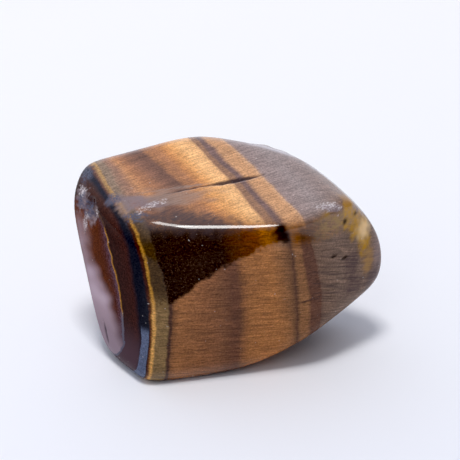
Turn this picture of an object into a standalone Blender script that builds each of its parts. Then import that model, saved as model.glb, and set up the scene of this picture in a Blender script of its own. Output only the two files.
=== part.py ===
"""A tumbled tiger's eye: one polished stone, 29 mm long, that lies on a flat base.

The stone is a polyhedron whose edges have been rolled soft. Each facet is a plane with its
normal n, its distance h from the stone's centre and its softness s, and the skin is where
log(sum over the facets of exp((n . p - h) / s)) = 0, with p measured from the centre. Far from
an edge that is the nearest plane itself, and near an edge the two planes run into one curve
about two softnesses wide. The skin is worked out along the directions of an icosphere's
vertices and thinned, so that small faces are left where it curves. Then the base is cut flat
and two chips are scooped out of the left end.

Units are metres, +Z is up, +X runs along the stone's length and the front faces -Y. The origin
is on the base, under the middle of the stone's outline.
"""

import math
from typing import NamedTuple

import bmesh
import bpy
import numpy as np
from mathutils import Vector

MM = 0.001


class Facet(NamedTuple):
    """One rolled plane of the stone."""

    bearing: float   # compass way of the normal: degrees from +X towards +Y
    rise: float      # degrees of the normal above the horizontal
    distance: float  # from the stone's centre to the plane
    softness: float  # how wide the plane runs into its neighbours


class Scoop(NamedTuple):
    """A chip in the shape of a ball's cap, pressed in along a direction from the centre."""

    bearing: float
    rise: float
    ball_radius: float
    depth: float


# The point that facets are measured from, a little behind the middle of the stone.
CENTRE = Vector((0.35 * MM, 1.0 * MM, 9.0 * MM))

FACETS = {
    "top": Facet(-129.0, 84.5, 9.8 * MM, 0.65 * MM),
    "front_lower": Facet(-90.0, -10.0, 8.7 * MM, 0.35 * MM),
    "front_upper": Facet(-108.0, 15.0, 10.8 * MM, 0.35 * MM),
    "front_right": Facet(-63.0, -4.5, 10.7 * MM, 0.50 * MM),
    "right_slope": Facet(14.0, 37.0, 12.3 * MM, 1.05 * MM),
    "right_end": Facet(3.0, 1.5, 14.6 * MM, 0.85 * MM),
    "back": Facet(56.0, 1.5, 6.7 * MM, 0.85 * MM),
    "back_left": Facet(99.0, -8.5, 7.1 * MM, 0.55 * MM),
    "left_rear": Facet(161.0, -13.0, 14.3 * MM, 0.80 * MM),
    "left": Facet(-156.0, -0.5, 12.8 * MM, 0.70 * MM),
    "left_shoulder": Facet(-168.0, 31.0, 15.2 * MM, 0.40 * MM),
    "worn_corner": Facet(-138.0, 44.0, 13.6 * MM, 0.40 * MM),
    "under_right": Facet(-39.0, -52.0, 10.2 * MM, 1.00 * MM),
    "base": Facet(0.0, -90.0, 9.1 * MM, 0.50 * MM),
}

# A low swelling on the back rim: where it is, how far it stands proud and how wide it spreads.
LUMP_CENTRE = Vector((5.6 * MM, 4.6 * MM, 18.4 * MM))
LUMP_HEIGHT = 0.48 * MM
LUMP_SPREAD = 0.9 * MM

# Two chips side by side, high on the left end.
SCOOPS = {
    "upper_chip": Scoop(175.0, 28.0, 1.0 * MM, 0.28 * MM),
    "lower_chip": Scoop(179.5, 24.5, 1.0 * MM, 0.28 * MM),
}

SPHERE_SUBDIVISIONS = 7   # 81920 triangles before they are thinned
KEPT_TRIANGLES = 6400
CHIP_SUBDIVISIONS = 4     # 1280 triangles for each ball
NEWTON_STEPS = 16         # enough for the skin to settle to well under a micrometre
GROUND_SIZE = 60.0 * MM   # the block that the base is cut with, wider than the stone

STONE_COLOUR = (0.24, 0.115, 0.045, 1.0)
STONE_ROUGHNESS = 0.18


def unit_vector(bearing, rise):
    """The direction that has this bearing and rise, in degrees."""
    bearing = math.radians(bearing)
    rise = math.radians(rise)
    return Vector((
        math.cos(bearing) * math.cos(rise),
        math.sin(bearing) * math.cos(rise),
        math.sin(rise),
    ))


def skin_distance(directions):
    """How far the skin is from the centre along each direction, by Newton's method.

    The start is the sharp polyhedron, the nearest plane that the direction meets, and the
    skin always lies inside it.
    """
    normals = np.array([unit_vector(f.bearing, f.rise) for f in FACETS.values()])
    distance = np.array([f.distance for f in FACETS.values()])
    softness = np.array([f.softness for f in FACETS.values()])
    slope = directions @ normals.T
    reach = np.where(slope > 1e-6, distance / np.maximum(slope, 1e-6), np.inf)
    sharp = reach.min(axis=1)
    length = sharp * 0.97
    for _ in range(NEWTON_STEPS):
        terms = (length[:, None] * slope - distance) / softness
        largest = terms.max(axis=1)
        weights = np.exp(terms - largest[:, None])
        total = weights.sum(axis=1)
        value = largest + np.log(total)
        change = (weights * slope / softness).sum(axis=1) / total
        length = np.minimum(length - value / change, sharp)
    return length


def add_lump(points, directions):
    """Push points outwards by a bell curve of their distance from the lump's centre."""
    gap = np.linalg.norm(points - np.array(LUMP_CENTRE), axis=1)
    swell = LUMP_HEIGHT * np.exp(-0.5 * (gap / LUMP_SPREAD) ** 2)
    return points + directions * swell[:, None]


def rolled_stone_mesh():
    """The stone before it is cut: an icosphere moved onto the skin."""
    bm = bmesh.new()
    bmesh.ops.create_icosphere(bm, subdivisions=SPHERE_SUBDIVISIONS, radius=1.0)
    directions = np.array([v.co.normalized() for v in bm.verts])
    points = np.array(CENTRE) + directions * skin_distance(directions)[:, None]
    points = add_lump(points, directions)
    for vert, point in zip(bm.verts, points):
        vert.co = point
    mesh = bpy.data.meshes.new("stone")
    bm.to_mesh(mesh)
    bm.free()
    return mesh


def thin_faces(stone):
    """Merge faces where the skin is flat, down to the number that is kept."""
    thin = stone.modifiers.new("thin_faces", "DECIMATE")
    thin.ratio = KEPT_TRIANGLES / len(stone.data.polygons)


def add_cutter(name, bm, middle, collection):
    """A wire object with this mesh, placed at `middle`, for a Boolean to cut with."""
    mesh = bpy.data.meshes.new(name)
    bm.to_mesh(mesh)
    bm.free()
    cutter = bpy.data.objects.new(name, mesh)
    cutter.location = middle
    cutter.hide_render = True
    cutter.display_type = "WIRE"
    collection.objects.link(cutter)
    return cutter


def ground_block(collection):
    """The block under the stone, with its top at the base's height."""
    bm = bmesh.new()
    bmesh.ops.create_cube(bm, size=GROUND_SIZE)
    return add_cutter("ground", bm, Vector((0.0, 0.0, -GROUND_SIZE / 2)), collection)


def scoop_ball(name, scoop, collection):
    """The ball that takes a chip out: its cap reaches `depth` under the skin."""
    direction = unit_vector(scoop.bearing, scoop.rise)
    skin = skin_distance(np.array([direction]))[0]
    middle = CENTRE + direction * (skin + scoop.ball_radius - scoop.depth)
    bm = bmesh.new()
    bmesh.ops.create_icosphere(bm, subdivisions=CHIP_SUBDIVISIONS, radius=scoop.ball_radius)
    return add_cutter(name, bm, middle, collection)


def cut_away(stone, cutter):
    """Take the cutter's space out of the stone."""
    cut = stone.modifiers.new(cutter.name, "BOOLEAN")
    cut.operation = "DIFFERENCE"
    cut.object = cutter


def stone_material():
    """Polished brown stone."""
    material = bpy.data.materials.new("tigers_eye")
    material.use_nodes = True
    shader = material.node_tree.nodes["Principled BSDF"]
    shader.inputs["Base Color"].default_value = STONE_COLOUR
    shader.inputs["Roughness"].default_value = STONE_ROUGHNESS
    shader.inputs["Metallic"].default_value = 0.0
    return material


def new_collection(name):
    """A collection linked to the scene."""
    collection = bpy.data.collections.new(name)
    bpy.context.scene.collection.children.link(collection)
    return collection


def main():
    for leftover in list(bpy.data.objects):
        bpy.data.objects.remove(leftover, do_unlink=True)
    parts = new_collection("tumbled_tigers_eye")
    cutters = new_collection("cutters")
    mesh = rolled_stone_mesh()
    mesh.materials.append(stone_material())
    mesh.shade_smooth()
    stone = bpy.data.objects.new("stone", mesh)
    parts.objects.link(stone)
    thin_faces(stone)
    cut_away(stone, ground_block(cutters))
    for name, scoop in SCOOPS.items():
        cut_away(stone, scoop_ball(name, scoop, cutters))


main()
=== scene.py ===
"""The finish of a tumbled tiger's eye: its fine skin, its fibre bands and its worn spots.

The stone is a soft polyhedron. Each facet is a plane, and the skin is where
log(sum over the facets of exp((n . p - h) / s)) = 0. Sheets of fibre cross the stone from left
to right, and each point is coloured by the sheets that it lies between.

Lengths are metres. +Z is up, +X runs along the stone and its front faces -Y.
"""

import logging
import math
from dataclasses import dataclass, field
from enum import Enum

import bpy
import numpy as np
from mathutils import Matrix, Vector


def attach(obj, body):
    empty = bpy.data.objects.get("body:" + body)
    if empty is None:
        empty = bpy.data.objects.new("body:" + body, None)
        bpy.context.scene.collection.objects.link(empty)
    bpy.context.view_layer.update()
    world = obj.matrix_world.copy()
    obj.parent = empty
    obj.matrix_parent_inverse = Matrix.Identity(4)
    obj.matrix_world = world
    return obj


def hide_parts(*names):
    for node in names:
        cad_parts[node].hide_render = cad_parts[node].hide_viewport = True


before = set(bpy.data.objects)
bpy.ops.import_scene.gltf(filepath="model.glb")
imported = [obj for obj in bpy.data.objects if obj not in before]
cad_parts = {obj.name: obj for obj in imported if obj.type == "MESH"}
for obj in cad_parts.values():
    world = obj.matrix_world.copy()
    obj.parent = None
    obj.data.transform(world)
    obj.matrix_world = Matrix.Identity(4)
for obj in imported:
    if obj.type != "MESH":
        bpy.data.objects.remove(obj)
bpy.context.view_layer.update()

LOG = logging.getLogger("tigers_eye")
MM = 0.001

Array = np.ndarray
Colour = tuple[float, float, float]
Place = tuple[float, float, float]
Knots = tuple[tuple[float, float], ...]
Socket = bpy.types.NodeSocket


def unit_vector(bearing: float, rise: float) -> Array:
    """The direction with this compass bearing and rise.

    Args:
        bearing: degrees from +X towards +Y.
        rise: degrees above the horizontal.

    Returns:
        A vector of length 1.
    """
    turn, tilt = math.radians(bearing), math.radians(rise)
    flat = math.cos(tilt)
    return np.array([math.cos(turn) * flat, math.sin(turn) * flat, math.sin(tilt)])


def smooth_step(low: float, high: float, value: Array) -> Array:
    """A soft step: 0 below `low`, 1 above `high`, and 3t^2 - 2t^3 between them.

    Args:
        low: where the step starts.
        high: where it ends.
        value: the numbers to step.

    Returns:
        Numbers from 0 to 1 in the shape of `value`.
    """
    t = np.clip((value - low) / (high - low), 0.0, 1.0)
    return t * t * (3.0 - 2.0 * t)


@dataclass(frozen=True)
class Ripple:
    """A smooth random wave in space: a sum of sines that run in seeded directions.

    Their lengths are `shortest` to `longest` times the wavelength, and `crest` is how high the
    scaled sum would reach.
    """

    wavelength: float
    seed: int
    waves: int = 7
    shortest: float = 0.7
    longest: float = 1.5
    crest: float = 1.6

    def height(self, points: Array) -> Array:
        """The wave at each point: the mean of sin(k . p + phase), scaled to about -1 to 1.

        Args:
            points: an array of positions, one row each.

        Returns:
            One number for each position.
        """
        random = np.random.default_rng(self.seed)
        ways = random.normal(size=(self.waves, 3))
        ways /= np.linalg.norm(ways, axis=1, keepdims=True)
        lengths = self.wavelength * random.uniform(self.shortest, self.longest, size=self.waves)
        phases = random.uniform(0.0, 2.0 * math.pi, size=self.waves)
        angles = points @ (ways * (2.0 * math.pi / lengths)[:, None]).T + phases
        return np.sin(angles).sum(axis=1) / math.sqrt(self.waves / 2.0) / self.crest


class Side(Enum):
    """The facets that have a look of their own."""

    TOP = "top"
    FRONT_UPPER = "front_upper"
    LEFT = "left"


@dataclass(frozen=True)
class Facet:
    """One rolled plane: the way it faces, its distance from the centre and its softness."""

    bearing: float
    rise: float
    distance: float
    softness: float


@dataclass(frozen=True)
class Scoop:
    """A chip in the shape of a ball's cap, pressed in along a direction from the centre."""

    bearing: float
    rise: float
    ball_radius: float
    depth: float


@dataclass(frozen=True)
class Swell:
    """A low round rise of the skin: height * exp(-d^2 / 2 spread^2) at distance d from its middle."""

    middle: Place
    height: float
    spread: float

    def rise(self, points: Array) -> Array:
        """How far the skin is lifted at each point."""
        gap = np.linalg.norm(points - np.array(self.middle), axis=1)
        return self.height * np.exp(-0.5 * (gap / self.spread) ** 2)


@dataclass(frozen=True)
class RolledBody:
    """The bare shape of the stone, as a distance from its centre along each direction.

    The facets' numbers are a fitting program's results, apart from the softness of front_upper,
    left_shoulder and base.
    """

    centre: Place = (0.35 * MM, 1.0 * MM, 9.0 * MM)
    facets: dict[str, Facet] = field(
        default_factory=lambda: {
            "top": Facet(-129.0, 84.5, 9.8 * MM, 0.65 * MM),
            "front_lower": Facet(-90.0, -10.0, 8.7 * MM, 0.35 * MM),
            "front_upper": Facet(-108.0, 15.0, 10.8 * MM, 0.62 * MM),
            "front_right": Facet(-63.0, -4.5, 10.7 * MM, 0.50 * MM),
            "right_slope": Facet(14.0, 37.0, 12.3 * MM, 1.05 * MM),
            "right_end": Facet(3.0, 1.5, 14.6 * MM, 0.85 * MM),
            "back": Facet(56.0, 1.5, 6.7 * MM, 0.85 * MM),
            "back_left": Facet(99.0, -8.5, 7.1 * MM, 0.55 * MM),
            "left_rear": Facet(161.0, -13.0, 14.3 * MM, 0.80 * MM),
            "left": Facet(-156.0, -0.5, 12.8 * MM, 0.70 * MM),
            "left_shoulder": Facet(-168.0, 31.0, 15.2 * MM, 0.40 * MM),
            "worn_corner": Facet(-138.0, 44.0, 13.6 * MM, 0.40 * MM),
            "under_right": Facet(-39.0, -52.0, 10.2 * MM, 1.00 * MM),
            "base": Facet(0.0, -90.0, 9.1 * MM, 1.20 * MM),
        }
    )
    newton_steps: int = 16
    first_guess: float = 0.97
    least_slope: float = 1e-6
    most_power: float = 50.0

    def tables(self) -> tuple[Array, Array, Array]:
        """The facets' normals, distances and softnesses as arrays."""
        values = list(self.facets.values())
        normals = np.array([unit_vector(f.bearing, f.rise) for f in values])
        distance = np.array([f.distance for f in values])
        softness = np.array([f.softness for f in values])
        return normals, distance, softness

    def reach(self, directions: Array) -> Array:
        """How far the skin is along each direction, by Newton's method.

        The start is the sharp polyhedron, min(h / (n . d)), and the skin lies inside it.

        Args:
            directions: unit vectors, one row each.

        Returns:
            One length for each direction.
        """
        normals, distance, softness = self.tables()
        slope = directions @ normals.T
        facing = np.maximum(slope, self.least_slope)
        sharp = np.where(slope > self.least_slope, distance / facing, np.inf).min(axis=1)
        length = sharp * self.first_guess
        for _ in range(self.newton_steps):
            terms = (length[:, None] * slope - distance) / softness
            largest = terms.max(axis=1)
            weights = np.exp(terms - largest[:, None])
            total = weights.sum(axis=1)
            change = (weights * slope / softness).sum(axis=1) / total
            length = np.minimum(length - (largest + np.log(total)) / change, sharp)
        return length

    def share(self, points: Array, side: Side, blur: float) -> Array:
        """How far a point belongs to one facet: the facet's part of all the exponentials.

        Args:
            points: positions on or near the skin.
            side: the facet that is asked for.
            blur: the softness that every facet is given here.

        Returns:
            Numbers from 0 to 1.
        """
        normals, distance, _ = self.tables()
        terms = ((points - np.array(self.centre)) @ normals.T - distance) / blur
        weights = np.exp(terms - terms.max(axis=1, keepdims=True))
        column = list(self.facets).index(side.value)
        return weights[:, column] / weights.sum(axis=1)

    def beyond(self, points: Array, one: Side, other: Side, blur: float) -> Array:
        """How far a point lies on one facet's side of the edge between two facets.

        It is 1 / (1 + exp((t_other - t_one) / blur)), with t = n . p - h for each facet.

        Args:
            points: positions on or near the skin.
            one: the facet that gives 1.
            other: the facet that gives 0.
            blur: the half width of the change.

        Returns:
            Numbers from 0 to 1.
        """
        normals, distance, _ = self.tables()
        heights = (points - np.array(self.centre)) @ normals.T - distance
        names = list(self.facets)
        gap = heights[:, names.index(other.value)] - heights[:, names.index(one.value)]
        return 1.0 / (1.0 + np.exp(np.clip(gap / blur, -self.most_power, self.most_power)))


@dataclass(frozen=True)
class Sheet:
    """A boundary between two fibre bands: nearly a plane across the stone.

    Its formula in millimetres is x = middle + run_y * y + run_z * (z - 18) + wander(y + z - 18),
    plus a fine ragged wave. `wander` joins its knots with straight lines. Most of the planes and
    the knots are a fitting program's results, rounded.
    """

    place: float
    middle: float
    run_y: float
    run_z: float
    ragged: float
    knots: Knots
    level: float = 18.0

    def x(self, points: Array, seed: int) -> Array:
        """Where the sheet is along X at each point's y and z.

        Args:
            points: positions in millimetres.
            seed: picks the sheet's own fine wave.

        Returns:
            One x for each point, in millimetres.
        """
        y, down = points[:, 1], points[:, 2] - self.level
        knots = np.array(self.knots)[::-1]
        wander = np.interp(y + down, knots[:, 0], knots[:, 1])
        flat = points * np.array([0.0, 1.0, 1.0])
        long_wave, short_wave = Ripple(1.3, seed), Ripple(0.6, seed + 50)
        fine = long_wave.height(flat) + 0.5 * short_wave.height(flat)
        return self.middle + self.run_y * y + self.run_z * down + wander + self.ragged * fine


# How the sheets wander: a program's results, thinned out and rounded, in millimetres.
HAIR_WANDER: Knots = (
    (-2.0, 0.05),
    (-4.0, -0.1),
    (-6.0, -0.15),
    (-12.0, 0.0),
    (-18.0, -0.05),
    (-19.5, -0.25),
)
BLUE_WANDER: Knots = (
    (2.5, 0.3),
    (0.0, 0.2),
    (-2.5, 0.3),
    (-17.5, 0.15),
    (-20.0, 0.0),
    (-22.0, -0.25),
)
GOLD_WANDER: Knots = (
    (6.0, 0.25),
    (3.0, -0.05),
    (0.5, -0.15),
    (-4.0, 0.0),
    (-7.0, -0.05),
    (-10.0, 0.1),
    (-16.0, 0.15),
    (-20.0, -0.05),
    (-23.0, -0.25),
)
SEAM_WANDER: Knots = (
    (5.5, 1.15),
    (3.0, 0.6),
    (0.3, 0.1),
    (-5.0, 0.35),
    (-7.5, 0.15),
    (-10.5, 0.15),
    (-12.5, 0.35),
    (-16.5, 0.35),
    (-20.5, 0.15),
)
HONEY_WANDER: Knots = (
    (7.0, 0.1),
    (2.5, -0.1),
    (0.0, -0.1),
    (-2.5, -0.25),
    (-5.0, -0.6),
    (-8.0, -0.65),
    (-12.0, -0.3),
    (-20.0, 0.2),
)
DARK_LEFT_WANDER: Knots = (
    (8.0, 0.05),
    (6.5, -0.2),
    (3.5, -0.15),
    (1.0, 0.05),
    (-3.0, -0.2),
    (-8.0, -0.4),
    (-9.5, 0.1),
    (-13.0, 0.3),
    (-18.0, 0.15),
    (-20.0, -0.05),
)
DARK_RIGHT_WANDER: Knots = (
    (8.0, 0.1),
    (6.5, 0.25),
    (4.0, 0.0),
    (1.0, 0.2),
    (-3.0, -0.1),
    (-8.5, -0.15),
    (-9.5, 0.2),
    (-16.0, 0.35),
    (-20.0, -0.05),
)
MAUVE_LEFT_WANDER: Knots = ((-3.0, 0.0), (-14.5, -0.4), (-17.0, -0.05), (-22.0, -0.15))
MAUVE_RIGHT_WANDER: Knots = ((-12.5, 0.0), (-15.0, 0.3), (-18.5, 0.5))
TAN_WANDER: Knots = ((-10.5, 0.05), (-12.5, 0.1), (-14.5, 0.35), (-16.5, 0.65), (-19.0, 0.5))
AMBER_WANDER: Knots = (
    (6.0, 0.25),
    (2.5, 0.3),
    (0.5, 0.15),
    (-5.5, -0.15),
    (-10.5, -0.15),
    (-13.0, 0.3),
    (-15.5, 0.4),
    (-17.5, 0.25),
    (-19.5, -0.15),
)


@dataclass(frozen=True)
class BandStack:
    """All the sheets from left to right, and the coordinate that counts across them."""

    sheets: dict[str, Sheet] = field(
        default_factory=lambda: {
            "hair_left": Sheet(2.0, -12.97, -0.27, -0.036, 0.012, HAIR_WANDER),
            "hair_right": Sheet(3.0, -12.93, -0.27, -0.036, 0.012, HAIR_WANDER),
            "blue_left": Sheet(5.0, -12.15, -0.20, -0.045, 0.03, BLUE_WANDER),
            "gold_left": Sheet(7.0, -11.33, -0.20, -0.04, 0.035, GOLD_WANDER),
            "gold_right": Sheet(8.0, -10.95, -0.20, -0.04, 0.035, GOLD_WANDER),
            "olive_right": Sheet(10.0, -10.84, -0.30, -0.05, 0.06, SEAM_WANDER),
            "seam_right": Sheet(11.0, -10.46, -0.30, -0.05, 0.04, SEAM_WANDER),
            "mauve_left": Sheet(14.0, -6.49, -0.394, -0.091, 0.04, MAUVE_LEFT_WANDER),
            "mauve_right": Sheet(16.0, -4.47, -0.358, -0.081, 0.04, MAUVE_RIGHT_WANDER),
            "honey_right": Sheet(19.0, -0.09, -0.274, -0.163, 0.04, HONEY_WANDER),
            "dark_left": Sheet(20.0, 0.60, -0.268, -0.189, 0.04, DARK_LEFT_WANDER),
            "dark_right": Sheet(21.0, 1.02, -0.268, -0.189, 0.03, DARK_RIGHT_WANDER),
            "tan_right": Sheet(23.0, 2.41, -0.26, -0.153, 0.04, TAN_WANDER),
            "amber_right": Sheet(24.0, 2.90, -0.29, -0.215, 0.035, AMBER_WANDER),
        }
    )
    left_step: float = 1.0
    right_step: float = 2.0
    least_gap: float = 0.03
    first_seed: int = 10

    def coordinate(self, points: Array) -> Array:
        """The band coordinate: each sheet's place, and even steps between neighbouring sheets.

        It is the first sheet's place, plus the sum over neighbours of
        clip((x - left) / (right - left), 0, 1) times the difference of their places. Beyond the
        outer sheets it goes on by 1 for every `left_step` or `right_step` millimetres.

        Args:
            points: positions in metres.

        Returns:
            One coordinate for each point.
        """
        local = points / MM
        x = local[:, 0]
        sheets = list(self.sheets.values())
        seeds = [self.first_seed + 2 * (number // 2) for number in range(len(sheets))]
        lines = [sheet.x(local, seed) for sheet, seed in zip(sheets, seeds)]
        before = np.minimum(x - lines[0], 0.0) / self.left_step
        after = np.maximum(x - lines[-1], 0.0) / self.right_step
        total = sheets[0].place + before + after
        for left, right, start, end in zip(lines, lines[1:], sheets, sheets[1:]):
            gap = np.maximum(right - left, self.least_gap)
            total = total + np.clip((x - left) / gap, 0.0, 1.0) * (end.place - start.place)
        return total


@dataclass(frozen=True)
class RidgeShade:
    """The painted shade under the front ridge: a dark wedge where the fibres' sheen goes dark at this slant.

    Its lower edge is a line z(x) through a few knots, in millimetres. Four of the six knots are a
    program's results, rounded.
    """

    hem: Knots = ((-9.0, 8.7), (-7.4, 10.0), (-4.0, 12.8), (-1.0, 14.75), (1.9, 15.95), (3.4, 16.3))
    blur: float = 0.24
    ragged: float = 0.18
    wave: Ripple = Ripple(0.6, 71)

    def strength(self, points: Array, under: Array) -> Array:
        """A soft step of the height over the lower edge, times how far the point is under the ridge.

        Args:
            points: positions in metres.
            under: 1 under the ridge and 0 over it.

        Returns:
            Numbers from 0 to 1.
        """
        local = points / MM
        knots = np.array(self.hem)
        edge = np.interp(local[:, 0], knots[:, 0], knots[:, 1])
        edge = edge + self.ragged * self.wave.height(local)
        return under * smooth_step(-self.blur, self.blur, local[:, 2] - edge)


@dataclass(frozen=True)
class Blot:
    """A soft-edged spot in space: an ellipsoid, turned about Z and then tipped about its Y.

    Its strength is 1 inside and falls to 0 over `edge`, in parts of its radius. Lengths are in
    millimetres and turns in degrees.
    """

    centre: Place
    radii: Place
    turn: float = 0.0
    tip: float = 0.0
    edge: float = 0.5
    ragged: float = 0.25
    grain: float = 0.8

    def strength(self, points: Array, seed: int) -> Array:
        """One minus a soft step of the point's distance in the ellipsoid's own radii.

        Args:
            points: positions in millimetres.
            seed: picks the wave that roughens the edge.

        Returns:
            Numbers from 0 to 1.
        """
        turn, tip = math.radians(self.turn), math.radians(self.tip)
        away = points - np.array(self.centre)
        across = np.array([math.cos(turn), math.sin(turn), 0.0])
        deep = np.array([-math.sin(turn), math.cos(turn), 0.0])
        along = math.cos(tip) * across + math.sin(tip) * np.array([0.0, 0.0, 1.0])
        upper = np.cross(along, deep)
        axes = np.stack([along, deep, upper])
        distance = np.linalg.norm(away @ axes.T / np.array(self.radii), axis=1)
        distance = distance + self.ragged * Ripple(self.grain, seed).height(points)
        return 1.0 - smooth_step(1.0 - self.edge, 1.0 + self.edge, distance)


@dataclass(frozen=True)
class Markings:
    """The spots that belong to no band, each kind as a few blots.

    Many of the places started from points that another program worked out. The order of the
    kinds fixes their seeds.
    """

    spots: dict[str, tuple[Blot, ...]] = field(
        default_factory=lambda: {
            "worn": (
                Blot((-9.5, -1.25, 17.9), (2.5, 0.75, 1.2), turn=-33.0, edge=0.5, ragged=0.3, grain=0.9),
                Blot((-10.1, -1.5, 17.7), (0.7, 0.7, 0.7), turn=-33.0, edge=0.5, ragged=0.3, grain=0.7),
                Blot((-13.9, 3.9, 15.9), (0.6, 1.2, 1.0), edge=0.4, ragged=0.5, grain=0.6),
                Blot((-13.4, 1.5, 15.4), (0.6, 0.8, 0.9), edge=0.5, ragged=0.3, grain=0.6),
                Blot((8.2, -7.1, 18.3), (1.1, 0.4, 0.5), turn=8.0, edge=0.5, ragged=0.5, grain=0.5),
            ),
            "chalk": (
                Blot((-13.95, 2.2, 14.4), (0.45, 0.35, 0.95), edge=0.4, ragged=0.3, grain=0.4),
                Blot((-13.8, 4.6, 16.5), (0.5, 0.6, 0.4), edge=0.3, ragged=0.5, grain=0.4),
                Blot((-13.2, 0.8, 15.9), (0.3, 0.3, 0.5), edge=0.3, ragged=0.5, grain=0.4),
                Blot((-8.2, -2.3, 18.0), (1.4, 0.3, 0.6), turn=15.0, edge=0.5, ragged=0.6, grain=0.5),
                Blot((8.2, -7.0, 18.35), (1.3, 0.35, 0.5), turn=8.0, edge=0.5, ragged=0.7, grain=0.4),
            ),
            "slate": (
                Blot((-13.55, 2.3, 15.8), (0.6, 0.9, 0.8), edge=0.6, ragged=0.35, grain=0.7),
                Blot((-11.6, 0.3, 17.6), (0.75, 0.7, 0.6), edge=0.4, ragged=0.3, grain=0.5),
                Blot((-10.2, -2.9, 17.3), (1.2, 0.45, 0.6), turn=-25.0, edge=0.5, ragged=0.4, grain=0.5),
                Blot((-14.0, 4.1, 15.6), (0.6, 0.6, 0.7), edge=0.4, ragged=0.5, grain=0.5),
                Blot((-13.2, 5.6, 17.7), (0.8, 0.9, 0.7), edge=0.5, ragged=0.3, grain=0.5),
            ),
            # A painted reflection: the pale haze of the bright background along the rear and right rims.
            "painted_rim_reflection": (
                Blot((5.9, 3.6, 18.9), (3.2, 0.40, 0.6), turn=-38.0, edge=0.7, ragged=0.15, grain=1.2),
                Blot(
                    (9.2, -0.6, 18.1), (2.6, 0.5, 0.6), turn=-58.0, tip=-14.0, edge=0.8, ragged=0.2, grain=1.2
                ),
            ),
            "cloud": (
                Blot((-6.3, -1.7, 18.2), (3.6, 1.4, 1.2), turn=-8.0, edge=0.6, ragged=0.3, grain=1.6),
                Blot((-5.4, -0.25, 18.4), (3.4, 0.17, 0.6), turn=-3.0, edge=0.7, ragged=0.3, grain=1.0),
                Blot((-10.85, -1.45, 17.5), (0.55, 1.15, 0.8), turn=16.0, edge=0.45, ragged=0.3, grain=0.7),
            ),
            # Painted shade along the front ridge, where the fibres' sheen fades on the rounding.
            "umber": (
                Blot((-8.55, -3.95, 17.55), (1.3, 0.42, 0.6), turn=-41.0, edge=0.6, ragged=0.3, grain=0.8),
                Blot((-5.2, -5.7, 17.8), (4.8, 1.15, 1.2), turn=-22.0, edge=0.7, ragged=0.25, grain=1.0),
            ),
            "crack": (
                Blot((0.15, -0.65, 18.7), (2.7, 0.35, 0.8), turn=3.2, edge=0.35, ragged=0.12, grain=0.8),
                Blot((-3.6, -0.75, 18.5), (2.6, 0.07, 0.8), turn=3.5, edge=0.9, ragged=0.3, grain=0.7),
                Blot((5.7, -7.55, 8.45), (0.7, 0.6, 0.09), tip=9.0, edge=0.7, ragged=0.2, grain=0.4),
                Blot((-12.7, -0.65, 3.2), (1.35, 0.5, 0.14), turn=90.0, tip=80.0, edge=0.5, ragged=0.1),
            ),
            "moss": (
                Blot((10.2, -6.5, 16.9), (1.0, 1.0, 1.3), edge=0.35, ragged=0.25, grain=0.9),
                Blot((11.2, -5.8, 15.3), (1.25, 1.1, 1.3), edge=0.45, ragged=0.25, grain=0.9),
                Blot((12.1, -5.3, 12.9), (0.75, 1.1, 1.2), edge=0.60, ragged=0.3, grain=0.9),
            ),
            "buff": (
                Blot((12.65, -4.9, 10.6), (0.65, 1.0, 1.5), edge=0.5, ragged=0.3, grain=0.9),
                Blot((10.3, -5.5, 18.0), (0.95, 0.9, 0.55), edge=0.6, ragged=0.3, grain=0.9),
            ),
            "cream": (
                Blot((11.95, -5.4, 14.55), (0.85, 1.0, 0.95), edge=0.9, ragged=0.25, grain=0.6),
            ),
            "mist": (
                Blot((14.0, -4.0, 10.2), (0.8, 1.1, 3.8), edge=0.9, ragged=0.2, grain=1.2),
            ),
            "stain": (
                Blot((8.3, -7.25, 16.8), (2.0, 0.9, 1.2), turn=15.0, edge=0.6, ragged=0.3, grain=1.1),
            ),
            "ink": (
                Blot((2.95, -8.65, 17.0), (0.70, 0.7, 0.80), edge=0.35, ragged=0.3, grain=0.8),
                Blot((3.4, -8.85, 16.4), (0.35, 0.5, 0.5), edge=0.5, ragged=0.3, grain=0.5),
                Blot((9.6, -6.85, 16.45), (0.30, 0.5, 0.27), edge=0.5, ragged=0.15, grain=0.4),
                Blot((10.9, -6.2, 16.7), (0.26, 0.5, 0.18), edge=0.6, ragged=0.3, grain=0.4),
                Blot((8.5, -7.2, 12.9), (0.35, 0.8, 0.16), edge=0.6, ragged=0.4, grain=0.5),
                Blot((9.8, -6.5, 12.2), (0.30, 0.8, 0.20), edge=0.6, ragged=0.4, grain=0.5),
            ),
            "shade": (
                Blot((10.5, -6.15, 12.05), (1.0, 0.8, 0.35), edge=0.6, ragged=0.4, grain=0.5),
                Blot((10.75, -6.0, 10.8), (0.70, 1.2, 2.2), edge=0.6, ragged=0.4, grain=0.7),
                Blot((11.2, -5.5, 8.2), (1.2, 1.4, 1.0), edge=0.8, ragged=0.3, grain=0.8),
                Blot((13.2, -4.0, 8.3), (0.9, 1.2, 1.6), edge=0.7, ragged=0.3, grain=0.9),
            ),
            "streaks": (
                Blot((9.3, -6.4, 10.6), (4.2, 2.0, 4.6), edge=0.5, ragged=0.2, grain=1.2),
            ),
        }
    )
    first_seed: int = 200
    seed_step: int = 20

    def fields(self, points: Array) -> dict[str, Array]:
        """Every kind of spot as a strength at each point, the strongest blot winning.

        Args:
            points: positions in metres.

        Returns:
            A dictionary from the spot's name to its strengths.
        """
        local = points / MM
        result = {}
        for number, (name, blots) in enumerate(self.spots.items()):
            first = self.first_seed + self.seed_step * number
            strengths = [blot.strength(local, first + index) for index, blot in enumerate(blots)]
            result[name] = np.max(strengths, axis=0)
        return result


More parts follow.
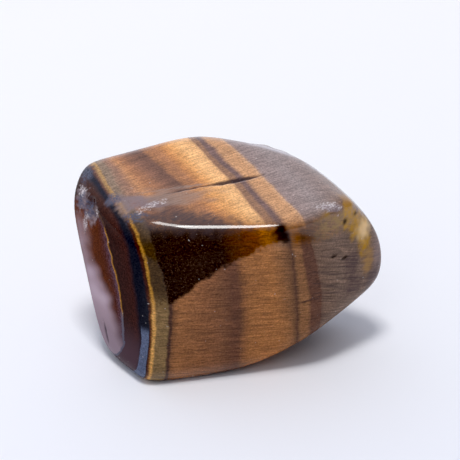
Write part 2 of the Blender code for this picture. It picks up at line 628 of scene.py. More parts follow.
@dataclass
class TumbledStone:
    """The polished stone: its fine mesh, the marks in its skin and its finish."""

    body: RolledBody = field(default_factory=RolledBody)
    bands: BandStack = field(default_factory=BandStack)
    markings: Markings = field(default_factory=Markings)
    ridge_shade: RidgeShade = field(default_factory=RidgeShade)
    scoops: tuple[Scoop, ...] = (
        Scoop(175.0, 28.0, 1.0 * MM, 0.28 * MM),
        Scoop(179.5, 24.5, 1.0 * MM, 0.28 * MM),
    )
    swells: tuple[Swell, ...] = (
        Swell((5.1 * MM, 6.0 * MM, 18.1 * MM), 0.62 * MM, 0.75 * MM),
        Swell((6.7 * MM, 4.8 * MM, 17.9 * MM), 0.50 * MM, 0.75 * MM),
    )
    grid: int = 124
    skin_wave: Ripple = Ripple(5.0 * MM, 3)
    skin_depth: float = 0.012 * MM
    worn_wave: Ripple = Ripple(0.45 * MM, 5)
    worn_depth: float = 0.03 * MM
    crack_depth: float = 0.08 * MM

    def grid_patch(self, axis: int, sign: int) -> Array:
        """Directions through one face of a cube: (1, tan a, tan b), a and b from -45 to 45 degrees.

        Args:
            axis: the cube face's axis, 0 to 2.
            sign: -1 or 1, the side of the axis.

        Returns:
            Unit vectors on a grid of (grid + 1) by (grid + 1) points.
        """
        angle = np.linspace(-math.pi / 4.0, math.pi / 4.0, self.grid + 1)
        a, b = np.meshgrid(np.tan(angle), np.tan(angle), indexing="ij")
        ways = np.empty(a.shape + (3,))
        ways[..., axis] = sign
        ways[..., (axis + 1) % 3] = a
        ways[..., (axis + 2) % 3] = b * sign
        return ways / np.linalg.norm(ways, axis=2, keepdims=True)

    def ball_grid(self) -> tuple[Array, Array]:
        """Six patches joined into one closed ball of directions.

        Returns:
            The unit vectors, and the quads as rows of four indices, facing out.
        """
        count = self.grid + 1
        patches = [self.grid_patch(axis, sign).reshape(-1, 3) for axis in range(3) for sign in (1, -1)]
        corner = np.arange(count * count).reshape(count, count)
        quad = np.stack([corner[:-1, :-1], corner[1:, :-1], corner[1:, 1:], corner[:-1, 1:]], axis=-1)
        quads = [quad.reshape(-1, 4) + count * count * i for i in range(6)]
        ways, quads = np.concatenate(patches), np.concatenate(quads)
        _, first, same = np.unique(np.round(ways, 7), axis=0, return_index=True, return_inverse=True)
        return ways[first], same.reshape(-1)[quads]

    def scooped(self, ways: Array, length: Array) -> Array:
        """Shorten the reach where a ray meets a scoop's ball before the skin.

        The ray centre + t d enters the ball at t = m - sqrt(m^2 - k), with m = d . c and
        k = c . c - R^2, for the ball's middle c seen from the stone's centre.

        Args:
            ways: unit vectors.
            length: the reach of the bare skin.

        Returns:
            The reach after the chips are gone.
        """
        for scoop in self.scoops:
            way = unit_vector(scoop.bearing, scoop.rise)
            skin = self.body.reach(way[None, :])[0]
            middle = way * (skin + scoop.ball_radius - scoop.depth)
            along = ways @ middle
            inside = along**2 - (middle @ middle - scoop.ball_radius**2)
            enter = along - np.sqrt(np.maximum(inside, 0.0))
            length = np.where((inside > 0.0) & (along > 0.0), np.minimum(length, enter), length)
        return length

    def skin(self, ways: Array) -> Array:
        """The finished surface: rolled facets, swells, chips and slight waves, flat underneath.

        Args:
            ways: unit vectors from the stone's centre.

        Returns:
            One position in metres for each direction.
        """
        centre = np.array(self.body.centre)
        length = self.body.reach(ways)
        points = centre + ways * length[:, None]
        length = length + sum(swell.rise(points) for swell in self.swells)
        length = self.scooped(ways, length)
        marks = self.markings.fields(points)
        rough = 1.0 + self.worn_wave.height(points)
        length = length + self.skin_depth * self.skin_wave.height(points)
        length = length - marks["worn"] * self.worn_depth * rough
        length = length - marks["crack"] * self.crack_depth
        points = centre + ways * length[:, None]
        points[:, 2] = np.maximum(points[:, 2], 0.0)
        return points

    def build(self) -> bpy.types.Object:
        """Make the mesh, its attributes and its material.

        Returns:
            The stone's object.
        """
        ways, quads = self.ball_grid()
        points = self.skin(ways)
        mesh = bpy.data.meshes.new("polished_stone")
        mesh.vertices.add(len(points))
        mesh.vertices.foreach_set("co", points.astype(np.float32).ravel())
        mesh.loops.add(quads.size)
        mesh.loops.foreach_set("vertex_index", quads.astype(np.int32).ravel())
        mesh.polygons.add(len(quads))
        mesh.polygons.foreach_set("loop_start", np.arange(0, quads.size, 4, dtype=np.int32))
        mesh.update(calc_edges=True)
        mesh.validate()
        self.store(mesh, self.looks(points))
        mesh.shade_smooth()
        mesh.materials.append(TigersEyeFinish().material())
        stone = bpy.data.objects.new("polished_stone", mesh)
        bpy.context.scene.collection.objects.link(stone)
        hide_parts("stone")
        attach(stone, "root")
        return stone

    def looks(self, points: Array) -> dict[str, Array]:
        """Everything that the finish needs to know about each point.

        Args:
            points: positions in metres.

        Returns:
            A dictionary from the attribute's name to its values.
        """
        band = self.bands.coordinate(points)
        x, y, z = (points / MM).T
        fields = self.markings.fields(points)
        # Painted shade: wedge, ledge and dim darken the bands under the front ridge, where the fibres' sheen
        # goes dark.
        under = self.body.beyond(points, Side.FRONT_UPPER, Side.TOP, 0.22 * MM)
        wedge = self.ridge_shade.strength(points, under) * smooth_step(9.85, 10.15, band)
        near, wide = (self.body.share(points, Side.TOP, blur * MM) for blur in (0.45, 1.3))
        rightward = smooth_step(3.0, 4.5, x)
        wedge = wedge * (1.0 - rightward)
        along = rightward * (1.0 - near) * smooth_step(14.9, 16.4, z)
        ledge = along * (1.0 - smooth_step(8.5, 10.5, x)) * (1.0 - smooth_step(-3.0, 0.0, y))
        past_olive = smooth_step(9.85, 10.15, band)
        dim = smooth_step(8.7, 11.4, z) * smooth_step(5.8, 6.3, band) * (1.0 - past_olive)
        fields["band"] = band
        # topside picks the top ramp, whose colours hold the painted sheen from the light above.
        fields["topside"] = (near + (wide - near) * smooth_step(6.5, 9.5, x)) * (1.0 - wedge)
        fields["endward"] = smooth_step(23.8, 24.2, band)
        # shoulder carries the painted shade under the front ridge into the colour.
        fields["shoulder"] = np.maximum.reduce([wedge, ledge, dim])
        fields["sparks"] = wedge * (1.0 - smooth_step(16.8, 18.4, band))

        fields["frost"] = 1.0 - smooth_step(6.3, 7.3, z)
        fields["steel"] = 1.0 - smooth_step(6.6, 7.6, z)
        fields["hush"] = smooth_step(15.0, 15.5, z)
        fields["smoke"] = (1.0 - smooth_step(2.5, 7.5, z)) * (1.0 - smooth_step(4.6, 5.2, band))
        # A painted reflection: the pale haze on the left face.
        fields["painted_haze"] = self.painted_haze(points, band)
        ahead = smooth_step(-0.12, 0.12, 0.056 * x - 0.66 - y)
        shift = np.minimum(0.5 * (18.0 - band), 1.3 * (band - 9.0))
        fields["slip"] = ahead * np.clip(shift, 0.0, None)

        left = self.body.share(points, Side.LEFT, 0.6 * MM)
        gloss = 0.42 + 0.58 * np.maximum(smooth_step(15.0, 16.6, z), 1.0 - smooth_step(0.8, 2.2, z))
        corner = (1.0 - smooth_step(-10.4, -9.2, x)) * (1.0 - near)
        matt = 0.85 * np.maximum(wedge, ledge) * smooth_step(0.80, 0.985, under)
        marks = [fields[name] for name in ("worn", "chalk", "crack")]
        dull = np.maximum.reduce([*marks, 0.8 * fields["ink"], matt])
        fields["shine"] = gloss * (1.0 - 0.65 * np.maximum(left, corner)) * (1.0 - dull)
        return fields

    def painted_haze(self, points: Array, band: Array) -> Array:
        """A painted reflection: the milky haze on the left face, which fades towards the fibre line, later
        near the foot.

        Args:
            points: positions in metres.
            band: the band coordinate of each point.

        Returns:
            Numbers from 0 to 1.
        """
        local = points / MM
        z = local[:, 2]
        heights = (4.0, 6.0, 7.0, 9.0, 11.0, 13.0, 15.6, 16.4)
        strengths = (0.50, 0.70, 0.95, 1.0, 0.88, 0.65, 0.5, 0.0)
        reach = np.interp(z, (2.0, 3.0, 5.0, 7.0, 9.5, 12.0), (2.45, 2.15, 1.95, 1.78, 1.66, 1.46))
        level = np.interp(z, heights, strengths)
        ragged = band + 0.04 * Ripple(2.0, 72).height(local)
        fade = 1.0 - smooth_step(reach - 0.34, reach + 0.12, ragged)
        before_hair = 1.0 - smooth_step(1.95, 2.1, band)
        return level * fade * before_hair * (1.0 - smooth_step(3.0, 6.0, local[:, 1]))

    @staticmethod
    def store(mesh: bpy.types.Mesh, values: dict[str, Array]) -> None:
        """Write named values onto the mesh's vertices.

        Args:
            mesh: the mesh.
            values: one array of numbers for each name.
        """
        for name, numbers in values.items():
            layer = mesh.attributes.new(name, "FLOAT", "POINT")
            layer.data.foreach_set("value", numbers.astype(np.float32))


@dataclass(frozen=True)
class Tint:
    """The stone's colours by their names, as linear red, green and blue.

    They started from colours that another program measured, and were then adjusted.
    """

    # The top's colours, honey to ash_dim and ink_top, hold the fibres' sheen from the light above, painted
    # in.
    honey: Colour = (0.82, 0.45, 0.185)
    honey_edge: Colour = (0.8, 0.44, 0.192)
    honey_warm: Colour = (0.71, 0.335, 0.11)
    gold: Colour = (0.53, 0.22, 0.068)
    gold_pale: Colour = (0.55, 0.287, 0.138)
    gold_white: Colour = (0.59, 0.335, 0.185)
    amber: Colour = (0.490, 0.225, 0.097)
    amber_dim: Colour = (0.385, 0.165, 0.072)
    copper: Colour = (0.340, 0.145, 0.060)
    rust: Colour = (0.235, 0.105, 0.062)
    walnut: Colour = (0.165, 0.074, 0.046)
    dusk: Colour = (0.290, 0.150, 0.085)
    dusk_deep: Colour = (0.175, 0.100, 0.088)
    straw: Colour = (0.440, 0.265, 0.120)
    sage: Colour = (0.268, 0.184, 0.128)
    rose: Colour = (0.305, 0.160, 0.105)
    ash: Colour = (0.285, 0.205, 0.190)
    ash_light: Colour = (0.305, 0.240, 0.230)
    ash_dim: Colour = (0.260, 0.190, 0.175)
    wine: Colour = (0.03, 0.0105, 0.0075)
    wine_mid: Colour = (0.046, 0.014, 0.010)
    hair_edge: Colour = (0.115, 0.070, 0.110)
    wine_warm: Colour = (0.045, 0.010, 0.004)
    russet_light: Colour = (0.155, 0.047, 0.013)
    russet: Colour = (0.118, 0.029, 0.008)
    russet_deep: Colour = (0.078, 0.016, 0.003)
    hair: Colour = (0.360, 0.165, 0.028)
    ink_blue: Colour = (0.0105, 0.0105, 0.0165)
    ink_top: Colour = (0.012, 0.010, 0.030)
    thread: Colour = (0.620, 0.320, 0.090)
    thread_edge: Colour = (0.150, 0.050, 0.015)
    thread_dim: Colour = (0.370, 0.175, 0.022)
    olive: Colour = (0.23, 0.14, 0.056)
    olive_dim: Colour = (0.054, 0.027, 0.0075)
    seam: Colour = (0.074, 0.031, 0.017)
    tan: Colour = (0.276, 0.110, 0.042)
    tan_light: Colour = (0.325, 0.132, 0.046)
    tan_dim: Colour = (0.205, 0.084, 0.037)
    cocoa: Colour = (0.150, 0.060, 0.030)
    caramel: Colour = (0.345, 0.138, 0.044)
    caramel_light: Colour = (0.415, 0.165, 0.050)
    umber: Colour = (0.105, 0.047, 0.025)
    bronze: Colour = (0.275, 0.122, 0.047)
    plum: Colour = (0.133, 0.054, 0.029)
    grey_tan: Colour = (0.198, 0.113, 0.070)
    grey_light: Colour = (0.212, 0.130, 0.087)
    # pitch to ember_grey, with wine_warm, thread_dim and olive_dim: shaded copies of the band colours for the
    # painted shade under the front ridge.
    pitch: Colour = (0.02, 0.0125, 0.0095)
    pitch_warm: Colour = (0.023, 0.013, 0.0095)
    ember: Colour = (0.082, 0.025, 0.004)
    ember_warm: Colour = (0.150, 0.036, 0.001)
    ember_light: Colour = (0.29, 0.093, 0.003)
    ember_mid: Colour = (0.195, 0.060, 0.003)
    ember_deep: Colour = (0.045, 0.012, 0.001)
    ember_plum: Colour = (0.105, 0.034, 0.005)
    ember_grey: Colour = (0.225, 0.098, 0.027)


@dataclass(frozen=True)
class Stop:
    """A colour at a place of the band coordinate."""

    place: float
    colour: Colour


class Nodes:
    """A small helper that adds and joins the nodes of one material."""

    def __init__(self, tree: bpy.types.NodeTree) -> None:
        """Keep the tree that nodes go into."""
        self.tree = tree

    def add(self, kind: str, **settings: object) -> bpy.types.Node:
        """Add a node of this kind and set its properties."""
        node = self.tree.nodes.new(kind)
        for name, value in settings.items():
            setattr(node, name, value)
        return node

    def join(self, source: object, target: Socket) -> None:
        """Link a socket, or set a constant, into a socket."""
        if isinstance(source, Socket):
            self.tree.links.new(source, target)
        else:
            target.default_value = source

    def attribute(self, name: str) -> Socket:
        """The number that the mesh carries under this name."""
        return self.add("ShaderNodeAttribute", attribute_name=name).outputs["Fac"]

    def maths(self, operation: str, *values: Socket | float) -> Socket:
        """One arithmetic step."""
        node = self.add("ShaderNodeMath", operation=operation)
        for value, socket in zip(values, node.inputs):
            self.join(value, socket)
        return node.outputs[0]

    def remap(self, value: Socket, low: float, high: float, start: float, end: float) -> Socket:
        """Carry low..high onto start..end, clamped."""
        node = self.add("ShaderNodeMapRange")
        for number, socket in zip((value, low, high, start, end), node.inputs):
            self.join(number, socket)
        return node.outputs[0]

    def mix(self, amount: Socket | float, first: Socket | Colour, second: Socket | Colour) -> Socket:
        """Mix two colours."""
        node = self.add("ShaderNodeMix", data_type="RGBA")
        for value, name in ((amount, "Factor"), (first, "A"), (second, "B")):
            colour = (*value, 1.0) if isinstance(value, tuple) else value
            self.join(colour, node.inputs[name])
        return node.outputs["Result"]

    def blend(self, amount: Socket, first: Socket, second: Socket) -> Socket:
        """Mix two numbers."""
        node = self.add("ShaderNodeMix", data_type="FLOAT")
        for value, name in ((amount, "Factor"), (first, "A"), (second, "B")):
            self.join(value, node.inputs[name])
        return node.outputs["Result"]

    def noise(self, vector: Socket, scale: float, detail: float, rough: float) -> Socket:
        """Fractal noise from 0 to 1."""
        node = self.add("ShaderNodeTexNoise")
        self.join(vector, node.inputs["Vector"])
        node.inputs["Scale"].default_value = scale
        node.inputs["Detail"].default_value = detail
        node.inputs["Roughness"].default_value = rough
        return node.outputs["Fac"]


@dataclass(frozen=True)
class TigersEyeFinish:
    """Polished banded stone: colours across the bands, fibres along them, worn and clean spots."""

    tint: Tint = field(default_factory=Tint)
    ramp_length: float = 30.0
    polish: float = 0.07
    worn_roughness: float = 0.5
    fibre_pitch: float = 0.00016
    fibre_draw: float = 15.0
    waviness: float = 0.00045
    wobble: float = 0.30
    wave_scale: float = 420.0
    side_turn: Place = (0.0, math.radians(5.0), 0.0)
    end_turn: Place = (0.0, math.radians(20.0), math.radians(27.0))
    top_turn: Place = (0.0, 0.0, math.radians(15.0))
    side_swing: float = 0.40
    top_swing: float = 0.28
    broad_swing: float = 0.12
    grain_scale: float = 6000.0
    grain_swing: float = 0.32
    rim_dust: float = 1.6
    refraction: float = 1.54
    bump_depth: float = 0.00005
    bump_strength: float = 0.6

    def top_stops(self) -> list[Stop]:
        """Colours of the bands on the top, with the fibres' sheen from the light above painted in."""
        t = self.tint
        return [
            Stop(2.0, t.walnut),
            Stop(4.2, t.walnut),
            Stop(4.9, t.ink_top),
            Stop(5.5, t.ink_top),
            Stop(6.5, t.rust),
            Stop(7.15, t.straw),
            Stop(7.7, t.straw),
            Stop(8.3, t.sage),
            Stop(10.3, t.sage),
            Stop(11.5, t.rose),
            Stop(12.4, t.amber),
            Stop(13.0, t.amber_dim),
            Stop(14.4, t.rust),
            Stop(15.1, t.walnut),
            Stop(15.6, t.walnut),
            Stop(16.1, t.copper),
            Stop(16.6, t.amber_dim),
            Stop(17.1, t.gold),
            Stop(17.6, t.honey_warm),
            Stop(18.2, t.honey),
            Stop(18.85, t.honey_edge),
            Stop(19.15, t.dusk),
            Stop(19.8, t.dusk),
            Stop(20.2, t.dusk_deep),
            Stop(20.8, t.dusk_deep),
            Stop(21.5, t.gold_pale),
            Stop(23.0, t.gold_pale),
            Stop(23.8, t.gold_white),
            Stop(24.1, t.ash),
            Stop(25.2, t.ash_light),
            Stop(26.5, t.ash_dim),
            Stop(29.0, t.ash),
        ]

    def side_stops(self) -> list[Stop]:
        """Colours of the bands on the front, the ends and the back."""
        t = self.tint
        return [
            Stop(1.2, t.russet_light),
            Stop(1.5, t.russet),
            Stop(1.85, t.russet_deep),
            Stop(2.1, t.hair_edge),
            Stop(2.32, t.hair),
            Stop(2.75, t.hair),
            Stop(3.0, t.wine),
            Stop(4.2, t.wine_mid),
            Stop(4.8, t.ink_blue),
            Stop(6.4, t.ink_blue),
            Stop(6.9, t.thread_edge),
            Stop(7.35, t.thread),
            Stop(7.75, t.thread),
            Stop(8.1, t.olive),
            Stop(9.8, t.olive),
            Stop(10.15, t.seam),
            Stop(10.6, t.seam),
            Stop(11.35, t.tan_light),
            Stop(12.8, t.tan),
            Stop(14.1, t.tan_dim),
            Stop(15.1, t.cocoa),
            Stop(15.6, t.cocoa),
            Stop(16.4, t.caramel),
            Stop(18.3, t.caramel_light),
            Stop(19.4, t.bronze),
            Stop(20.3, t.umber),
            Stop(21.1, t.bronze),
            Stop(22.2, t.bronze),
            Stop(22.75, t.plum),
            Stop(23.9, t.plum),
            Stop(24.1, t.grey_tan),
            Stop(25.2, t.grey_light),
        ]

    def painted_shade_stops(self) -> list[Stop]:
        """Painted shade: colours of the bands just under the front ridge, where the fibres' sheen goes dark.
        """
        t = self.tint
        return [
            Stop(6.3, t.ink_blue),
            Stop(6.8, t.wine_warm),
            Stop(7.2, t.wine_warm),
            Stop(7.45, t.thread_dim),
            Stop(7.7, t.thread_dim),
            Stop(8.1, t.olive_dim),
            Stop(9.7, t.olive_dim),
            Stop(10.1, t.pitch),
            Stop(11.0, t.pitch),
            Stop(12.0, t.pitch_warm),
            Stop(14.8, t.pitch_warm),
            Stop(16.1, t.ember),
            Stop(17.6, t.ember_warm),
            Stop(18.5, t.ember_light),
            Stop(19.3, t.ember_mid),
            Stop(19.8, t.ember_deep),
            Stop(20.3, t.ember_deep),
            Stop(20.9, t.ember_mid),
            Stop(22.1, t.ember_mid),
            Stop(22.7, t.ember_plum),
            Stop(23.9, t.ember_plum),
            Stop(25.2, t.ember_grey),
        ]

    def ramp(self, nodes: Nodes, place: Socket, stops: list[Stop]) -> Socket:
        """A colour ramp across the bands.

        Args:
            nodes: the material's nodes.
            place: the band coordinate.
            stops: the colours in order.

        Returns:
            The colour socket.
        """
        node = nodes.add("ShaderNodeValToRGB")
        nodes.join(nodes.maths("DIVIDE", place, self.ramp_length), node.inputs["Fac"])
        elements = node.color_ramp.elements
        for element, stop in zip(elements, (stops[0], stops[-1])):
            element.position = stop.place / self.ramp_length
            element.color = (*stop.colour, 1.0)
        for stop in stops[1:-1]:
            element = elements.new(stop.place / self.ramp_length)
            element.color = (*stop.colour, 1.0)
        return node.outputs["Color"]

    def fibres(self, nodes: Nodes, place: Socket, turn: Place, pitch: float, breadth: float) -> Socket:
        """Noise drawn out along the fibres.

        Args:
            nodes: the material's nodes.
            place: the position to look up.
            turn: the turn that carries +X onto the fibres.
            pitch: the thickness of one noise cell across the fibres, in metres.
            breadth: how many times broader than thick the cell is.

        Returns:
            A number from 0 to 1.
        """
        node = nodes.add("ShaderNodeMapping", vector_type="TEXTURE")
        nodes.join(place, node.inputs["Vector"])
        node.inputs["Rotation"].default_value = turn
        node.inputs["Scale"].default_value = (pitch * self.fibre_draw, pitch * breadth, pitch)
        return nodes.noise(node.outputs["Vector"], 1.0, 3.0, 0.6)

    def fibre_shade(self, nodes: Nodes, place: Socket) -> tuple[Socket, Socket]:
        """The fibres' brightness, and their noise alone, each side with its own fibre direction.

        Args:
            nodes: the material's nodes.
            place: Object coordinates.

        Returns:
            The factor for the colour and the plain fine noise.
        """
        wave = nodes.add("ShaderNodeTexNoise")
        nodes.join(place, wave.inputs["Vector"])
        wave.inputs["Scale"].default_value = self.wave_scale
        wave.inputs["Detail"].default_value = 1.0
        shift = nodes.add("ShaderNodeVectorMath", operation="MULTIPLY_ADD")
        nodes.join(wave.outputs["Color"], shift.inputs[0])
        shift.inputs[1].default_value = (self.waviness,) * 3
        nodes.join(place, shift.inputs[2])
        waved = shift.outputs[0]
        turns = ((self.side_turn, 1.0), (self.end_turn, 5.0), (self.top_turn, 1.0))
        topside, endward = nodes.attribute("topside"), nodes.attribute("endward")
        layers = []
        for pitch in (self.fibre_pitch, self.fibre_pitch * 4.0):
            side, end, top = (self.fibres(nodes, waved, turn, pitch, wide) for turn, wide in turns)
            layers.append(nodes.blend(topside, nodes.blend(endward, side, end), top))
        fine, broad = layers
        strong, soft = (self.swung(nodes, fine, swing) for swing in (self.side_swing, self.top_swing))
        thin = nodes.blend(topside, strong, soft)
        shade = nodes.maths("MULTIPLY", thin, self.swung(nodes, broad, self.broad_swing))
        return shade, fine

    @staticmethod
    def swung(nodes: Nodes, noise: Socket, swing: float) -> Socket:
        """A factor around 1 that follows a noise: 1 - swing to 1 + swing."""
        return nodes.remap(noise, 0.3, 0.7, 1.0 - swing, 1.0 + swing)

    def material(self) -> bpy.types.Material:
        """Build the whole finish.

        Returns:
            The material.
        """
        material = bpy.data.materials.new("polished_tigers_eye")
        material.use_nodes = True
        tree = material.node_tree
        tree.nodes.clear()
        nodes = Nodes(tree)
        shader = nodes.add("ShaderNodeBsdfPrincipled")
        output = nodes.add("ShaderNodeOutputMaterial")
        tree.links.new(shader.outputs["BSDF"], output.inputs["Surface"])
        place = nodes.add("ShaderNodeTexCoord").outputs["Object"]
        grain = nodes.noise(place, self.grain_scale, 2.0, 0.6)

        shade, fine = self.fibre_shade(nodes, place)
        wobble = nodes.maths("MULTIPLY", nodes.maths("SUBTRACT", fine, 0.5), self.wobble)
        across = nodes.maths("ADD", nodes.attribute("band"), wobble)
        # The top ramp holds painted sheen from the light above; topside lays it on the top.
        top = self.ramp(nodes, nodes.maths("ADD", across, nodes.attribute("slip")), self.top_stops())
        side = self.ramp(nodes, across, self.side_stops())
        # The shoulder ramp is painted shade, laid under the front ridge by the shoulder attribute.
        shoulder = self.ramp(nodes, across, self.painted_shade_stops())
        shaded = nodes.attribute("shoulder")
        rim = nodes.maths("MULTIPLY", shaded, nodes.maths("SUBTRACT", 1.0, shaded))
        dusty = nodes.maths("MULTIPLY", rim, nodes.remap(grain, 0.35, 0.65, -self.rim_dust, self.rim_dust))
        colour = nodes.mix(nodes.maths("ADD", shaded, dusty), side, shoulder)
        colour = nodes.mix(nodes.attribute("topside"), colour, top)
        light = nodes.maths("MULTIPLY", shade, self.swung(nodes, grain, self.grain_swing))
        colour = self.scaled(nodes, colour, light)
        colour = self.spotted(nodes, colour, place, grain, fine, across)
        nodes.join(colour, shader.inputs["Base Color"])

        shader.inputs["Roughness"].default_value = self.worn_roughness
        shader.inputs["IOR"].default_value = self.refraction
        shader.inputs["Specular IOR Level"].default_value = 0.0
        shader.inputs["Coat IOR"].default_value = self.refraction
        shader.inputs["Coat Roughness"].default_value = self.polish
        nodes.join(nodes.attribute("shine"), shader.inputs["Coat Weight"])
        bump = nodes.add("ShaderNodeBump")
        bump.inputs["Distance"].default_value = self.bump_depth
        roughness = nodes.remap(nodes.attribute("worn"), 0.0, 1.0, 0.0, self.bump_strength)
        nodes.join(roughness, bump.inputs["Strength"])
        nodes.join(grain, bump.inputs["Height"])
        nodes.join(bump.outputs["Normal"], shader.inputs["Normal"])
        return material

    @staticmethod
    def scaled(nodes: Nodes, colour: Socket, amount: Socket) -> Socket:
        """The colour times a number.

        Args:
            nodes: the material's nodes.
            colour: the colour.
            amount: the number.

        Returns:
            The colour socket.
        """
        node = nodes.add("ShaderNodeVectorMath", operation="SCALE")
        nodes.join(colour, node.inputs[0])
        nodes.join(amount, node.inputs["Scale"])
        return node.outputs[0]

    def spotted(
        self,
        nodes: Nodes,
        colour: Socket,
        place: Socket,
        grain: Socket,
        fine: Socket,
        across: Socket,
    ) -> Socket:
        """Lay the markings over the bands.

        Args:
            nodes: the material's nodes.
            colour: the banded colour.
            place: Object coordinates.
            grain: even noise.
            fine: fibre noise.
            across: the band coordinate.

        Returns:
            The colour socket.
        """
        in_hair = nodes.maths("COMPARE", across, 2.5, 0.5)
        in_blue = nodes.maths("COMPARE", across, 5.65, 0.75)
        frosty = nodes.maths("MULTIPLY", in_blue, nodes.remap(grain, 0.35, 0.65, 0.50, 1.0))
        steely = nodes.maths("MULTIPLY", in_hair, nodes.remap(grain, 0.35, 0.65, 0.70, 1.0))
        threads = nodes.remap(self.end_threads(nodes, place), 0.48, 0.36, 0.0, 0.55)
        streaky = nodes.remap(fine, 0.35, 0.65, 0.45, 0.95)
        crumb = nodes.remap(grain, 0.46, 0.60, 0.15, 1.0)
        sparkle = nodes.noise(place, 6500.0, 2.0, 0.7)
        mottle = nodes.noise(place, 1700.0, 3.0, 0.6)
        layers = (
            ("hush", nodes.maths("MULTIPLY", in_hair, 0.9), (0.055, 0.025, 0.022)),
            ("smoke", 0.95, (0.082, 0.045, 0.056)),
            ("cloud", streaky, (0.30, 0.205, 0.165)),
            # Painted shade along the front ridge.
            ("umber", nodes.remap(fine, 0.35, 0.65, 0.95, 0.60), (0.060, 0.040, 0.042)),
            # A painted reflection on the left face.
            ("painted_haze", 0.95, (0.55, 0.425, 0.495)),
            # The painted reflection along the rear and right rims.
            ("painted_rim_reflection", 0.85, (0.54, 0.50, 0.54)),
            ("frost", frosty, (0.145, 0.175, 0.275)),
            ("steel", steely, (0.11, 0.11, 0.155)),
            ("streaks", threads, (0.050, 0.030, 0.028)),
            ("stain", nodes.remap(mottle, 0.38, 0.62, 0.15, 0.90), (0.34, 0.195, 0.045)),
            ("moss", nodes.remap(mottle, 0.34, 0.58, 0.45, 1.0), (0.50, 0.245, 0.004)),
            ("mist", 0.45, (0.36, 0.25, 0.25)),
            ("buff", nodes.remap(fine, 0.35, 0.65, 0.6, 1.0), (0.42, 0.22, 0.06)),
            ("shade", nodes.remap(fine, 0.40, 0.60, 0.85, 0.55), (0.080, 0.042, 0.038)),
            ("cream", 0.9, (0.96, 0.66, 0.33)),
            ("ink", 0.9, (0.006, 0.003, 0.002)),
            ("sparks", nodes.remap(sparkle, 0.56, 0.82, 0.0, 0.9), (0.15, 0.075, 0.042)),
            ("crack", 0.92, (0.040, 0.030, 0.036)),
            ("worn", nodes.remap(grain, 0.35, 0.60, 0.65, 0.95), (0.25, 0.195, 0.21)),
            ("slate", nodes.remap(grain, 0.62, 0.42, 0.25, 1.0), (0.095, 0.100, 0.150)),
            ("chalk", crumb, (0.66, 0.60, 0.62)),
        )
        for name, strength, tone in layers:
            colour = nodes.mix(nodes.maths("MULTIPLY", nodes.attribute(name), strength), colour, tone)
        return self.dusted(nodes, colour, place)

    def end_threads(self, nodes: Nodes, place: Socket) -> Socket:
        """Long thin threads that lie along the right end of the stone."""
        node = nodes.add("ShaderNodeMapping", vector_type="TEXTURE")
        nodes.join(place, node.inputs["Vector"])
        node.inputs["Rotation"].default_value = self.end_turn
        node.inputs["Scale"].default_value = (0.0045, 0.0008, 0.00022)
        return nodes.noise(node.outputs["Vector"], 1.0, 2.0, 0.5)

    @staticmethod
    def dusted(nodes: Nodes, colour: Socket, place: Socket) -> Socket:
        """Scatter fine pale specks: rounds in some cells of a Voronoi pattern, then loose dust.

        Args:
            nodes: the material's nodes.
            colour: the colour so far.
            place: Object coordinates.

        Returns:
            The colour socket.
        """
        cells = nodes.add("ShaderNodeTexVoronoi")
        nodes.join(place, cells.inputs["Vector"])
        cells.inputs["Scale"].default_value = 750.0
        pick = nodes.add("ShaderNodeSeparateXYZ")
        nodes.join(cells.outputs["Color"], pick.inputs[0])
        round_spot = nodes.remap(cells.outputs["Distance"], 0.035, 0.060, 1.0, 0.0)
        chosen = nodes.remap(pick.outputs["X"], 0.70, 0.95, 0.0, 0.75)
        specks = nodes.maths("MULTIPLY", round_spot, chosen)
        colour = nodes.mix(specks, colour, (0.50, 0.42, 0.36))
        dust = nodes.remap(nodes.noise(place, 2600.0, 1.0, 0.5), 0.76, 0.80, 0.0, 0.35)
        return nodes.mix(dust, colour, (0.75, 0.70, 0.66))


class Role(Enum):
    """What a lamp is for: it lights the stone, or it is seen in the polish."""

    LAMP = "lamp"
    GLINT = "glint"


@dataclass(frozen=True)
class Strip:
    """A soft light between two points, as wide as `width` across the line that joins them."""

    name: str
    start: Place
    end: Place
    width: float
    power: float
    role: Role


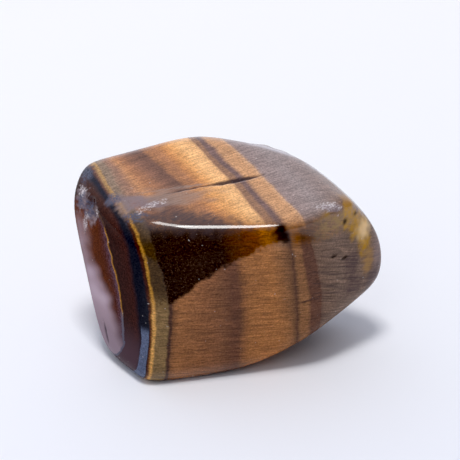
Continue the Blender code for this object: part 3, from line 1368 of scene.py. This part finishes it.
@dataclass(frozen=True)
class Studio:
    """A plain pale floor, soft light and the camera."""

    azimuth: float = -13.0
    elevation: float = 30.0
    distance: float = 0.30
    aim: Place = (0.239 * MM, 1.335 * MM, 12.108 * MM)
    lens: float = 239.5
    floor_size: float = 3.0
    horizon: float = 0.14
    zenith: float = 0.92
    backdrop: float = 1.0
    lean: float = 0.4
    black_level: float = 0.012
    # The floor's colour runs from near_floor in front to far_floor behind: a painted light falloff, darker
    # and bluer towards the camera.
    near_floor: Colour = (0.800, 0.820, 0.895)
    far_floor: Colour = (0.930, 0.930, 0.945)
    strips: tuple[Strip, ...] = (
        Strip("strip_left", (-0.3688, 0.0296, 0.7182), (-0.2260, -0.2989, 0.6055), 0.09, 1.2, Role.GLINT),
        Strip("strip_right", (-0.2776, -0.3371, 0.5782), (-0.1031, -0.3249, 0.6198), 0.20, 1.75, Role.GLINT),
        Strip("front", (-0.3855, -0.4673, 0.4993), (-0.1601, -0.5754, 0.4993), 0.34, 0.45, Role.LAMP),
        Strip("overhead", (-0.15, -0.16, 0.74), (0.01, -0.16, 0.74), 0.14, 3.1, Role.LAMP),
    )

    def back_way(self) -> Vector:
        """The direction from the stone to the camera."""
        turn, tilt = math.radians(self.azimuth), math.radians(self.elevation)
        flat = math.cos(tilt)
        return Vector((math.sin(turn) * flat, -math.cos(turn) * flat, math.sin(tilt)))

    def camera(self) -> None:
        """Place the camera and make it the scene's own."""
        data = bpy.data.cameras.new("camera")
        data.lens = self.lens
        data.sensor_width = 36.0
        data.clip_start = 0.01
        data.clip_end = 20.0
        camera = bpy.data.objects.new("camera", data)
        camera.location = Vector(self.aim) + self.back_way() * self.distance
        camera.rotation_mode = "QUATERNION"
        camera.rotation_quaternion = (-self.back_way()).to_track_quat("-Z", "Y")
        bpy.context.scene.collection.objects.link(camera)
        bpy.context.scene.camera = camera

    def floor(self) -> None:
        """Lay a pale, slightly blue floor under the stone, with a painted light falloff: darker and bluer
        towards the camera.
        """
        half = self.floor_size / 2.0
        mesh = bpy.data.meshes.new("floor")
        corners = [(-half, -half, 0.0), (half, -half, 0.0), (half, half, 0.0), (-half, half, 0.0)]
        mesh.from_pydata(corners, [], [(0, 1, 2, 3)])
        floor = bpy.data.objects.new("floor", mesh)
        floor.location.z = -0.00002
        material = bpy.data.materials.new("pale_floor")
        material.use_nodes = True
        shader = material.node_tree.nodes["Principled BSDF"]
        nodes = Nodes(material.node_tree)
        parts = nodes.add("ShaderNodeSeparateXYZ")
        nodes.join(nodes.add("ShaderNodeTexCoord").outputs["Object"], parts.inputs[0])
        # Painted light falloff from the near floor to the far floor.
        far = nodes.remap(parts.outputs["Y"], -0.045, 0.075, 0.0, 1.0)
        tone = nodes.mix(far, self.near_floor, self.far_floor)
        nodes.join(tone, shader.inputs["Base Color"])
        shader.inputs["Roughness"].default_value = 0.9
        shader.inputs["Specular IOR Level"].default_value = 0.1
        mesh.materials.append(material)
        bpy.context.scene.collection.objects.link(floor)

    def hang(self, strip: Strip) -> None:
        """Hang a soft light so that it faces the stone.

        Args:
            strip: the light.
        """
        data = bpy.data.lights.new(strip.name, "AREA")
        data.shape = "RECTANGLE"
        start, end = Vector(strip.start), Vector(strip.end)
        middle, run = (start + end) / 2.0, end - start
        data.size, data.size_y = run.length, strip.width
        data.energy = strip.power
        data.color = (1.0, 0.985, 0.965)
        away = (middle - Vector(self.aim)).normalized()
        across = away.cross(run).normalized()
        light = bpy.data.objects.new(strip.name, data)
        light.location = middle
        light.rotation_mode = "QUATERNION"
        turn = Matrix((across.cross(away), across, away)).transposed()
        light.rotation_quaternion = turn.to_quaternion()
        light.visible_diffuse = strip.role is Role.LAMP
        light.visible_glossy = strip.role is Role.GLINT
        bpy.context.scene.collection.objects.link(light)

    def surround(self) -> None:
        """Light the room: brighter overhead, behind and on the left, with a backdrop low behind."""
        world = bpy.data.worlds.new("room")
        world.use_nodes = True
        nodes = Nodes(world.node_tree)
        shade = world.node_tree.nodes["Background"]
        shade.inputs["Color"].default_value = (0.865, 0.895, 1.0, 1.0)
        way = nodes.add("ShaderNodeTexCoord").outputs["Generated"]
        parts = nodes.add("ShaderNodeSeparateXYZ")
        nodes.join(way, parts.inputs[0])
        up, back = parts.outputs["Z"], parts.outputs["Y"]
        rearward = nodes.maths("MULTIPLY", back, self.lean)
        leftward = nodes.maths("MULTIPLY", parts.outputs["X"], -self.lean)
        lean = nodes.maths("ADD", up, nodes.maths("ADD", rearward, leftward))
        dome = nodes.remap(lean, 0.1, 1.25, self.horizon, self.zenith)
        behind, low = nodes.remap(back, 0.5, 0.95, 0.0, 1.0), nodes.remap(up, 0.3, 0.55, 1.0, 0.0)
        paper = nodes.maths("MULTIPLY", behind, low)
        glow = nodes.maths("MULTIPLY", paper, self.backdrop)
        nodes.join(nodes.maths("ADD", dome, glow), shade.inputs["Strength"])
        bpy.context.scene.world = world

    def build(self) -> None:
        """Set the whole studio up."""
        self.camera()
        self.floor()
        self.surround()
        for strip in self.strips:
            self.hang(strip)
        scene = bpy.context.scene
        scene.view_settings.view_transform = "Standard"
        scene.view_settings.look = "None"
        scene.view_settings.use_curve_mapping = True
        curves = scene.view_settings.curve_mapping
        curves.black_level = (self.black_level,) * 3
        curves.update()


def main() -> None:
    """Build the stone and its studio, and report them."""
    logging.basicConfig(level=logging.INFO, format="%(name)s: %(message)s")
    stone = TumbledStone().build()
    LOG.info("%s: %d faces", stone.name, len(stone.data.polygons))
    Studio().build()
    LOG.info("studio: floor, lights and camera")


if __name__ == "__main__":
    main()
